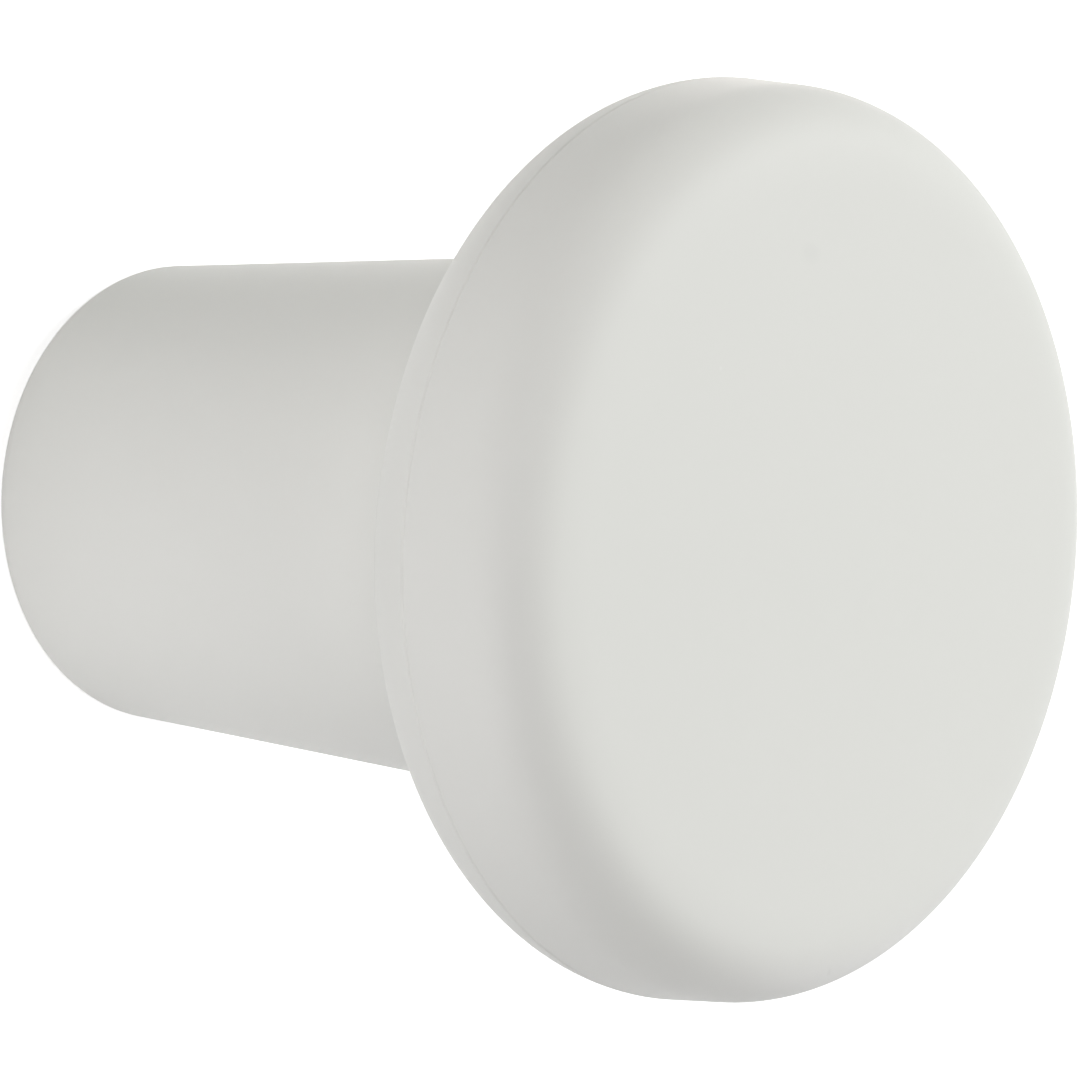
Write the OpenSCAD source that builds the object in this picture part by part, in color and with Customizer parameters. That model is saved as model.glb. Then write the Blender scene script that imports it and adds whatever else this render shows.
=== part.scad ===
// Bottle stopper, moulded in one piece from solid silicone.
// It stands on the end of its plug: the origin is the centre of that end, and
// +Z runs along the axis to the middle of the head's face.
// The whole form is one revolved outline, drawn as radius against height.

/* [Head] */
// Largest diameter of the head, at the parting line
head_d = 32; // [28:0.5:44]
// Thickness of the head on its axis, from the seat to the top of the crown
head_t = 8.2; // [6.8:0.1:14]
// Rise of the crowned face above the crest of its shoulder
crown_h = 0.3; // [0.1:0.05:0.7]
// Radius of the shoulder, the wide arc that eases the face into its edge round
shoulder_r = 8; // [5:0.5:20]
// Slope of the face where the shoulder gives way to the edge round, in degrees
shoulder_slope = 11; // [9:0.5:20]
// Radius of the round between the face and the side
face_edge_r = 2.8; // [1.5:0.1:3.5]
// Radius of the round between the side and the seat
back_edge_r = 2.9; // [1.5:0.1:3.5]
// Draft of the side, in degrees, which frees the face half from its mould
side_draft = 4.7; // [1:0.1:7]

/* [Plug] */
// Length of the plug, from its end to the seat under the head
plug_len = 25.2; // [15:0.1:40]
// Diameter of the plug where it meets the head
root_d = 19.7; // [18:0.1:22]
// Diameter of the plug at its end, before the edge is rounded
tip_d = 17.1; // [12:0.1:18]
// Radius of the fillet between the plug and the seat
root_fillet_r = 1; // [0.3:0.1:1.5]
// Radius of the round on the plug's end
tip_edge_r = 1; // [0.3:0.1:3]

/* [Parting line] */
// Width of the fine groove left where the two mould halves meet
groove_w = 0.12; // [0.08:0.02:0.3]
// Depth of that groove
groove_depth = 0.05; // [0.03:0.01:0.12]

/* [Hidden] */
$fn = 180;
// Each round stands this far proud of its corner, so that it crosses the
// lines that it blends into instead of only touching them
lap = 0.001;
// Angle by which a round's slice runs on past each end, in degrees
blend = 5;

// Head: its radius and the levels where its outline turns
head_r = head_d / 2;
seat_z = plug_len;
top_z = seat_z + head_t;
parting_z = seat_z + back_edge_r;
shoulder_z = top_z - crown_h - shoulder_r;
edge_z = shoulder_z + (shoulder_r - face_edge_r) * cos(shoulder_slope);
// Centre line of the face's edge round, which touches the drafted side
edge_x = head_r - face_edge_r * cos(side_draft)
    - (edge_z + face_edge_r * sin(side_draft) - parting_z) * tan(side_draft);
// Angle from level at which the edge round runs smoothly into the shoulder
shoulder_end = 90 - shoulder_slope;
shoulder_x = edge_x - (shoulder_r - face_edge_r) * sin(shoulder_slope);
// The crown is one arc about the axis that runs smoothly into the shoulder
crown_r = (shoulder_x ^ 2 + crown_h ^ 2 + 2 * crown_h * shoulder_r) / (2 * crown_h);
crown_z = top_z - crown_r;
crown_end = atan2(shoulder_z - crown_z, shoulder_x);

// Plug: its taper from the axis, in degrees, and the share of its radius by
// which a round's centre stands off a corner of that taper
root_r = root_d / 2;
tip_r = tip_d / 2;
taper = atan2(root_r - tip_r, plug_len);
corner_share = (1 - sin(taper)) / cos(taper);
// The fillet takes no more than the flat width of the seat
seat_w = head_r - back_edge_r - root_r;
fillet_r = min(root_fillet_r, 0.9 * seat_w / corner_share);

// Point at an angle and a distance from a centre
function polar(centre, angle, r) = centre + r * [cos(angle), sin(angle)];

// Outer part of a disc's slice between two angles less than 180 degrees apart
module slice(centre, r, from, to) {
    reach = 1.5 * r / cos((to - from) / 2);
    intersection() {
        translate(centre) circle(r);
        polygon([
            polar(centre, from, r / 2), polar(centre, from, reach),
            polar(centre, to, reach), polar(centre, to, r / 2)
        ]);
    }
}

// Cap of the crown, which ends where the shoulder begins
module crown_outline() {
    shoulder = [shoulder_x, shoulder_z];
    intersection() {
        translate([0, crown_z]) circle(crown_r, $fn = 1800);
        polygon([
            [0, edge_z], polar(shoulder, crown_end, shoulder_r / 2),
            polar(shoulder, crown_end, shoulder_r + crown_h), [0, top_z + crown_h]
        ]);
    }
}

// Crowned face, its shoulder and edge round, the drafted side and the back
// round, all cut flat at the seat
module head_outline() {
    shoulder = [shoulder_x, shoulder_z];
    edge = [edge_x, edge_z];
    back = [head_r - back_edge_r, parting_z];
    crown_edge = polar(shoulder, crown_end, shoulder_r);
    intersection() {
        translate([0, seat_z]) square([head_d, top_z]);
        union() {
            polygon([
                [0, seat_z], [back.x, seat_z], [head_r, parting_z],
                polar(edge, side_draft, face_edge_r), polar(edge, shoulder_end, face_edge_r),
                crown_edge, [0, crown_edge.y]
            ]);
            slice(back + [0, -lap], back_edge_r, -90 - blend, 0);
            slice(edge + [lap, 2 * lap], face_edge_r, side_draft - blend, shoulder_end + blend);
            slice(shoulder + [0, lap], shoulder_r, shoulder_end, crown_end + blend);
            crown_outline();
        }
    }
}

// Tapered plug with a rounded edge at its flat end
module plug_outline() {
    tip = [tip_r - tip_edge_r * corner_share, tip_edge_r];
    intersection() {
        square([head_d, top_z]);
        union() {
            polygon([[0, 0], [tip.x, 0], polar(tip, -taper, tip_edge_r), [root_r, seat_z], [0, seat_z]]);
            slice(tip + [lap, -lap], tip_edge_r, -90 - blend, -taper + blend);
        }
    }
}

// Fillet that fills the corner between the plug and the seat
module root_fillet_outline() {
    root = [root_r + fillet_r * corner_share, seat_z - fillet_r];
    difference() {
        polygon([
            root, [root.x, seat_z + lap], [root_r - fillet_r, seat_z + lap],
            polar(root, 180 - taper, 2 * fillet_r)
        ]);
        translate(root + [-lap, lap]) circle(fillet_r);
    }
}

// V-shaped groove round the largest diameter
module parting_groove() {
    polygon([
        [head_r - groove_depth, parting_z],
        [head_r + groove_depth, parting_z - groove_w],
        [head_r + groove_depth, parting_z + groove_w]
    ]);
}

module stopper() {
    color("#dddeda")
    rotate_extrude()
    difference() {
        union() {
            head_outline();
            plug_outline();
            root_fillet_outline();
        }
        parting_groove();
    }
}

stopper();
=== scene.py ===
import math
import bmesh
import bpy
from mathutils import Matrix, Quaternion, Vector


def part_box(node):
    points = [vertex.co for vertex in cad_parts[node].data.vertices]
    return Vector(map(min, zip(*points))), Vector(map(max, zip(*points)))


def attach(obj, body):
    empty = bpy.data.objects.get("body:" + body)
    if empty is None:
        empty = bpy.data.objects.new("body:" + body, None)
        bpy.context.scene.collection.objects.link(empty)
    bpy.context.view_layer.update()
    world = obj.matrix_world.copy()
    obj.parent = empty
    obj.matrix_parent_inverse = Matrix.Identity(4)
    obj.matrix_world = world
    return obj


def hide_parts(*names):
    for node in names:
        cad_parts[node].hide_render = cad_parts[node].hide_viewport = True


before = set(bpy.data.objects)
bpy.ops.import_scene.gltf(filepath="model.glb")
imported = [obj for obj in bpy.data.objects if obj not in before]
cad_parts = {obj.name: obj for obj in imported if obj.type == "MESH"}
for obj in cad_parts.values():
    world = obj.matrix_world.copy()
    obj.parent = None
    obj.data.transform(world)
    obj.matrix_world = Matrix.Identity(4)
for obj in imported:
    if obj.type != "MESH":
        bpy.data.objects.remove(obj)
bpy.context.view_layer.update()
stopper_low, stopper_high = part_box("stopper")
scene = bpy.context.scene
scene.view_settings.view_transform = "Standard"


# Camera. A long lens looks down on the head from the front. It is rolled on to
# its side, so that the stopper lies across the picture with its plug to the
# left and its face to the right.
camera_lens = 184.66
camera_distance = 0.18833
camera_elevation = math.radians(42.08)
camera_roll = math.radians(95.114)
camera_aim = Vector((0.000555, -0.006825, 0.02584))
camera_nearest = 0.01
towards_camera = Vector((0, -math.cos(camera_elevation), math.sin(camera_elevation)))

camera = bpy.data.objects.new("camera", bpy.data.cameras.new("camera"))
scene.collection.objects.link(camera)
camera.data.lens = camera_lens
camera.data.clip_start = camera_nearest
camera.location = camera_aim + camera_distance * towards_camera
camera.rotation_mode = "QUATERNION"
camera.rotation_quaternion = towards_camera.to_track_quat("Z", "Y") @ Quaternion((0, 0, 1), camera_roll)
scene.camera = camera


# Stopper. One compression moulding of solid white silicone: a tapered plug
# under a wide round head with a crowned face. Its two mould halves meet at the
# head's largest diameter and leave a fine line there.
head_r = min(stopper_high.x, stopper_high.y, -stopper_low.x, -stopper_low.y)
top_z = stopper_high.z
plug_len = 0.0252
crown_h = 0.0003
shoulder_r = 0.008
shoulder_slope = math.radians(11)
face_edge_r = 0.0028
back_edge_r = 0.0029
side_draft = math.radians(4.7)
root_r = 0.00985
tip_r = 0.00855
root_fillet_r = 0.001
tip_edge_r = 0.001
groove_w = 0.00012
groove_depth = 0.00005
groove_lip = 0.00004

# Equal steps in each part of the outline, and round the whole turn.
tip_steps = 6
fillet_steps = 12
flank_steps = 24
seat_steps = 4
back_edge_steps = 24
groove_side_steps = 2
side_steps = 6
face_edge_steps = 36
shoulder_steps = 8
crown_steps = 16
turn_steps = 256
merge_distance = 1e-7

# Where each arc of the outline has its centre and meets the next part.
taper = math.atan2(root_r - tip_r, plug_len)
corner_share = (1 - math.sin(taper)) / math.cos(taper)
tip_x = tip_r - tip_edge_r * corner_share
root_x = root_r + root_fillet_r * corner_share
root_z = plug_len - root_fillet_r
flank_end_x = root_x - root_fillet_r * math.cos(taper)
flank_end_z = plug_len - root_fillet_r * (1 - math.sin(taper))
seat_end_x = head_r - back_edge_r
parting_z = plug_len + back_edge_r
groove_half = groove_w / 2
lip_half = groove_half + groove_lip
lip_angle = lip_half / back_edge_r
side_slope = math.tan(side_draft)
shoulder_z = top_z - crown_h - shoulder_r
edge_z = shoulder_z + (shoulder_r - face_edge_r) * math.cos(shoulder_slope)
side_end_z = edge_z + face_edge_r * math.sin(side_draft)
edge_x = head_r - face_edge_r * math.cos(side_draft) - (side_end_z - parting_z) * side_slope
side_end_x = edge_x + face_edge_r * math.cos(side_draft)
shoulder_x = edge_x - (shoulder_r - face_edge_r) * math.sin(shoulder_slope)
crown_r = (shoulder_x ** 2 + crown_h ** 2 + 2 * crown_h * shoulder_r) / (2 * crown_h)
crown_slope = math.asin(shoulder_x / (crown_r - shoulder_r))

outline = bmesh.new()


def line_to(end, x, z, steps=1):
    """Draws the outline on from its end vertex in equal steps."""
    move = (Vector((x, 0, z)) - end.co) / steps
    for _ in range(steps):
        end = bmesh.ops.extrude_vert_indiv(outline, verts=[end])["verts"][0]
        bmesh.ops.translate(outline, verts=[end], vec=move)
    return end


def arc_about(end, x, z, angle, steps):
    """Turns the outline's end vertex about a centre, in equal steps."""
    turned = bmesh.ops.spin(
        outline,
        geom=[end],
        cent=(x, 0, z),
        axis=(0, -1, 0),
        angle=angle,
        steps=steps,
        use_duplicate=False,
    )
    return turned["geom_last"][0]


# The outline runs from the middle of the plug's end, round the plug and the
# head, to the middle of the face.
end = outline.verts.new((0, 0, 0))
end = line_to(end, tip_x, 0, tip_steps)
end = arc_about(end, tip_x, tip_edge_r, math.pi / 2 - taper, fillet_steps)
end = line_to(end, flank_end_x, flank_end_z, flank_steps)
end = arc_about(end, root_x, root_z, taper - math.pi / 2, fillet_steps)
end = line_to(end, seat_end_x, plug_len, seat_steps)
end = arc_about(end, seat_end_x, parting_z, math.pi / 2 - lip_angle, back_edge_steps)
end = line_to(end, head_r, parting_z - groove_half)
end = line_to(end, head_r - groove_depth, parting_z, groove_side_steps)
end = line_to(end, head_r - side_slope * groove_half, parting_z + groove_half, groove_side_steps)
end = line_to(end, head_r - side_slope * lip_half, parting_z + lip_half)
end = line_to(end, side_end_x, side_end_z, side_steps)
end = arc_about(end, edge_x, edge_z, math.pi / 2 - side_draft - shoulder_slope, face_edge_steps)
end = arc_about(end, shoulder_x, shoulder_z, shoulder_slope - crown_slope, shoulder_steps)
end = arc_about(end, 0, top_z - crown_r, crown_slope, crown_steps)

bmesh.ops.spin(
    outline,
    geom=outline.verts[:] + outline.edges[:],
    cent=(0, 0, 0),
    axis=(0, 0, 1),
    angle=2 * math.pi,
    steps=turn_steps,
    use_merge=True,
)
bmesh.ops.remove_doubles(outline, verts=outline.verts, dist=merge_distance)
bmesh.ops.recalc_face_normals(outline, faces=outline.faces)
for face in outline.faces:
    face.smooth = True
stopper_mesh = bpy.data.meshes.new("moulded_stopper")
outline.to_mesh(stopper_mesh)
outline.free()
stopper = bpy.data.objects.new("moulded_stopper", stopper_mesh)
scene.collection.objects.link(stopper)


class Shade:
    """A value in a tree of shader nodes. Arithmetic on it adds Math nodes."""

    def __init__(self, tree, socket=None):
        self.tree = tree
        self.socket = socket

    def node(self, kind, settings, inputs, output=0):
        """Adds a node, makes its settings, then fills or links its sockets."""
        made = self.tree.nodes.new(kind)
        for name, value in settings.items():
            setattr(made, name, value)
        for name, value in inputs.items():
            if isinstance(value, Shade):
                self.tree.links.new(value.socket, made.inputs[name])
            else:
                made.inputs[name].default_value = value
        return Shade(self.tree, made.outputs[output])

    def math(self, operation, first, second):
        return self.node("ShaderNodeMath", {"operation": operation}, {0: first, 1: second})

    def __add__(self, other):
        return self.math("ADD", self, other)

    def __sub__(self, other):
        return self.math("SUBTRACT", self, other)

    def __rsub__(self, other):
        return self.math("SUBTRACT", other, self)

    def __mul__(self, other):
        return self.math("MULTIPLY", self, other)

    __radd__ = __add__
    __rmul__ = __mul__


# The silicone is matt where it left the blasted mould, and its white is a little
# uneven. It has a faint smudge and a pale fleck of dust on the face, and a nick in
# the front edge: a shallow dent whose grey is painted shade.
white = (0.781, 0.787, 0.750, 1)
duller_white = (0.773, 0.779, 0.742, 1)
mottle_scale = 170
mottle_detail = 4
silicone_ior = 1.41
matt = 0.6
matt_change = 0.06
matt_patch_scale = 3 * mottle_scale
matt_patch_detail = 3
grain_scale = 9000
grain_detail = 2
grain_height = 0.0000006
patch_middle = 0.5
mark_core_share = 0.2
smudge_grey = (0.740, 0.745, 0.714, 1)
smudge_place = (-0.00989, -0.00269, 0.03319)
smudge_reach = (0.0005, 0.0007, 0.0005)
smudge_strength = 0.45
fleck_white = (0.860, 0.866, 0.830, 1)
fleck_place = (-0.00564, -0.00689, 0.03325)
fleck_reach = (0.00010, 0.00010, 0.0002)
fleck_strength = 0.33
# The nick's grey is painted shade for its dent, not a colour of the silicone.
painted_nick_shade = (0.700, 0.705, 0.676, 1)
nick_place = (0.01452, 0.00268, 0.03238)
nick_turn = (0, math.radians(45), math.radians(54))
nick_reach = (0.0004, 0.00012, 0.0003)
nick_shade_strength = 0.3
nick_depth = 0.000004
unturned = (0, 0, 0)

silicone = bpy.data.materials.new("white_silicone")
silicone.use_nodes = True
shader = silicone.node_tree.nodes["Principled BSDF"]
shader.inputs["IOR"].default_value = silicone_ior
place = Shade(silicone.node_tree).node("ShaderNodeTexCoord", {}, {}, "Object")


def patches(scale, detail):
    """Soft random patches over the surface, about 0.5 and mostly within 0.25 of it."""
    return place.node("ShaderNodeTexNoise", {}, {"Vector": place, "Scale": scale, "Detail": detail}, "Fac")


def spot(centre, turn, reach):
    """1 in the core of a small mark on the surface, fading to 0 at its reach along each axis."""
    local = place.node(
        "ShaderNodeMapping",
        {"vector_type": "TEXTURE"},
        {"Vector": place, "Location": centre, "Rotation": turn, "Scale": reach},
    )
    away = local.node("ShaderNodeVectorMath", {"operation": "LENGTH"}, {0: local}, "Value")
    return away.node(
        "ShaderNodeMapRange",
        {"interpolation_type": "SMOOTHSTEP"},
        {"Value": away, "From Min": mark_core_share, "From Max": 1.0, "To Min": 1.0, "To Max": 0.0},
    )


def painted(under, over, share):
    """A colour with another laid over it by a share."""
    # A Mix node for colours has its factor at 0, its colours at 6 and 7, and its result at 2.
    return share.node("ShaderNodeMix", {"data_type": "RGBA"}, {0: share, 6: under, 7: over}, 2)


smudge = spot(smudge_place, unturned, smudge_reach)
fleck = spot(fleck_place, unturned, fleck_reach)
nick = spot(nick_place, nick_turn, nick_reach)
colour = painted(duller_white, white, patches(mottle_scale, mottle_detail))
colour = painted(colour, smudge_grey, smudge * smudge_strength)
colour = painted(colour, fleck_white, fleck * fleck_strength)
# Painted shade: the nick's dent is greyed in the colour, over its shallow bump.
colour = painted(colour, painted_nick_shade, nick * nick_shade_strength)
silicone.node_tree.links.new(colour.socket, shader.inputs["Base Color"])
roughness = matt + (patches(matt_patch_scale, matt_patch_detail) - patch_middle) * matt_change
silicone.node_tree.links.new(roughness.socket, shader.inputs["Roughness"])
height = (patches(grain_scale, grain_detail) - patch_middle) * grain_height - nick * nick_depth
relief = height.node("ShaderNodeBump", {}, {"Height": height, "Distance": 1.0, "Strength": 1.0})
silicone.node_tree.links.new(relief.socket, shader.inputs["Normal"])
stopper_mesh.materials.append(silicone)

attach(stopper, "root")
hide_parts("stopper")


# Floor. A plain pale table that the stopper stands on. To the camera and in
# reflections it is lifted to white, less the stopper's shadow. The lift grows
# where the lamps no longer reach.
floor_half = 2.0
floor_colour = (0.8, 0.8, 0.8, 1)
floor_roughness = 0.9
floor_lift = (0.6, 0.6, 0.6, 1)
floor_far_lift = (1, 1, 1, 1)
floor_lit_reach = 0.2
floor_dark_reach = 0.4
black = (0, 0, 0, 1)

floor_mesh = bpy.data.meshes.new("floor")
plane = bmesh.new()
bmesh.ops.create_grid(plane, x_segments=1, y_segments=1, size=floor_half)
plane.to_mesh(floor_mesh)
plane.free()
floor = bpy.data.objects.new("floor", floor_mesh)
scene.collection.objects.link(floor)
pale = bpy.data.materials.new("pale_floor")
pale.use_nodes = True
pale_shader = pale.node_tree.nodes["Principled BSDF"]
pale_shader.inputs["Base Color"].default_value = floor_colour
pale_shader.inputs["Roughness"].default_value = floor_roughness
pale_shader.inputs["Specular IOR Level"].default_value = 0
pale_shader.inputs["Emission Strength"].default_value = 1


def shown(tree, colour):
    """A colour to the camera, in reflections and through glass, and black to all other rays."""
    start = Shade(tree)
    seen = start.node("ShaderNodeLightPath", {}, {}, "Is Camera Ray")
    seen = seen + start.node("ShaderNodeLightPath", {}, {}, "Is Glossy Ray")
    seen = seen + start.node("ShaderNodeLightPath", {}, {}, "Is Transmission Ray")
    return painted(black, colour, seen)


table = Shade(pale.node_tree).node("ShaderNodeTexCoord", {}, {}, "Object")
out_from_stopper = table.node("ShaderNodeVectorMath", {"operation": "LENGTH"}, {0: table}, "Value")
unlit = out_from_stopper.node(
    "ShaderNodeMapRange",
    {"interpolation_type": "SMOOTHSTEP"},
    {"Value": out_from_stopper, "From Min": floor_lit_reach, "From Max": floor_dark_reach},
)
glow = shown(pale.node_tree, painted(floor_lift, floor_far_lift, unlit))
pale.node_tree.links.new(glow.socket, pale_shader.inputs["Emission Color"])
floor_mesh.materials.append(pale)


# Light. Soft discs of light stand round the stopper. The room shows white to the
# camera and in reflections, and gives no other light. The five cards are small
# discs close to the stopper, in place of white cards that throw light back at it.
room_white = (1, 1, 1, 1)
room = bpy.data.worlds.new("white_room")
scene.world = room
room.use_nodes = True
room_light = room.node_tree.nodes["Background"]
room_colour = shown(room.node_tree, room_white)
room.node_tree.links.new(room_colour.socket, room_light.inputs["Color"])


def softbox(name, azimuth, reach, height, tilt, size, power, colour):
    """
    A disc lamp at a reach from the stopper's axis. It faces the axis, tilted up
    from level. Azimuth 0 is the camera's side and 90 is towards +X.
    """
    lamp = bpy.data.objects.new(name, bpy.data.lights.new(name, "AREA"))
    scene.collection.objects.link(lamp)
    turn = math.radians(azimuth)
    rise = math.radians(tilt)
    out = Vector((math.sin(turn), -math.cos(turn), 0))
    lamp.location = reach * out + Vector((0, 0, height))
    facing = Vector((0, 0, math.sin(rise))) - math.cos(rise) * out
    lamp.rotation_mode = "QUATERNION"
    lamp.rotation_quaternion = (-facing).to_track_quat("Z", "Y")
    lamp.data.shape = "DISK"
    lamp.data.size = size
    lamp.data.energy = power
    lamp.data.color = colour
    lamp.visible_camera = False


# Each has its azimuth in degrees, reach and height in metres, tilt in degrees,
# size in metres, power in watts, and colour.
softbox("front_softbox", 351, 0.39, 0.33, -38, 0.2, 0.72, (1, 0.99, 0.985))
softbox("top_softbox", 45, 0.17, 0.49, -70, 0.2, 0.375, (1, 0.985, 0.985))
softbox("rear_left_softbox", 221, 0.37, 0.355, -42, 0.28, 1.555, (0.995, 1, 0.997))
softbox("rear_right_softbox", 162, 0.39, 0.33, -38, 0.2, 0.535, (0.99, 1, 0.995))
softbox("front_low_softbox", 30, 0.5, 0.07, -6, 0.2, 0.722, (0.985, 0.96, 1))
softbox("left_card", 300, 0.09, 0.031, 45, 0.08, 0.0075, (1, 0.94, 0.93))
softbox("right_card", 140, 0.07, 0.034, 0, 0.03, 0.0062, (0.97, 0.93, 1))
softbox("rear_floor_card", 220, 0.05, 0.001, 90, 0.04, 0.0084, (1, 0.92, 0.86))
softbox("plug_front_card", 30, 0.028, 0.0055, 0, 0.01, 0.00022, (1, 1, 1))
softbox("plug_right_card", 60, 0.028, 0.0055, 0, 0.01, 0.00019, (1, 1, 1))
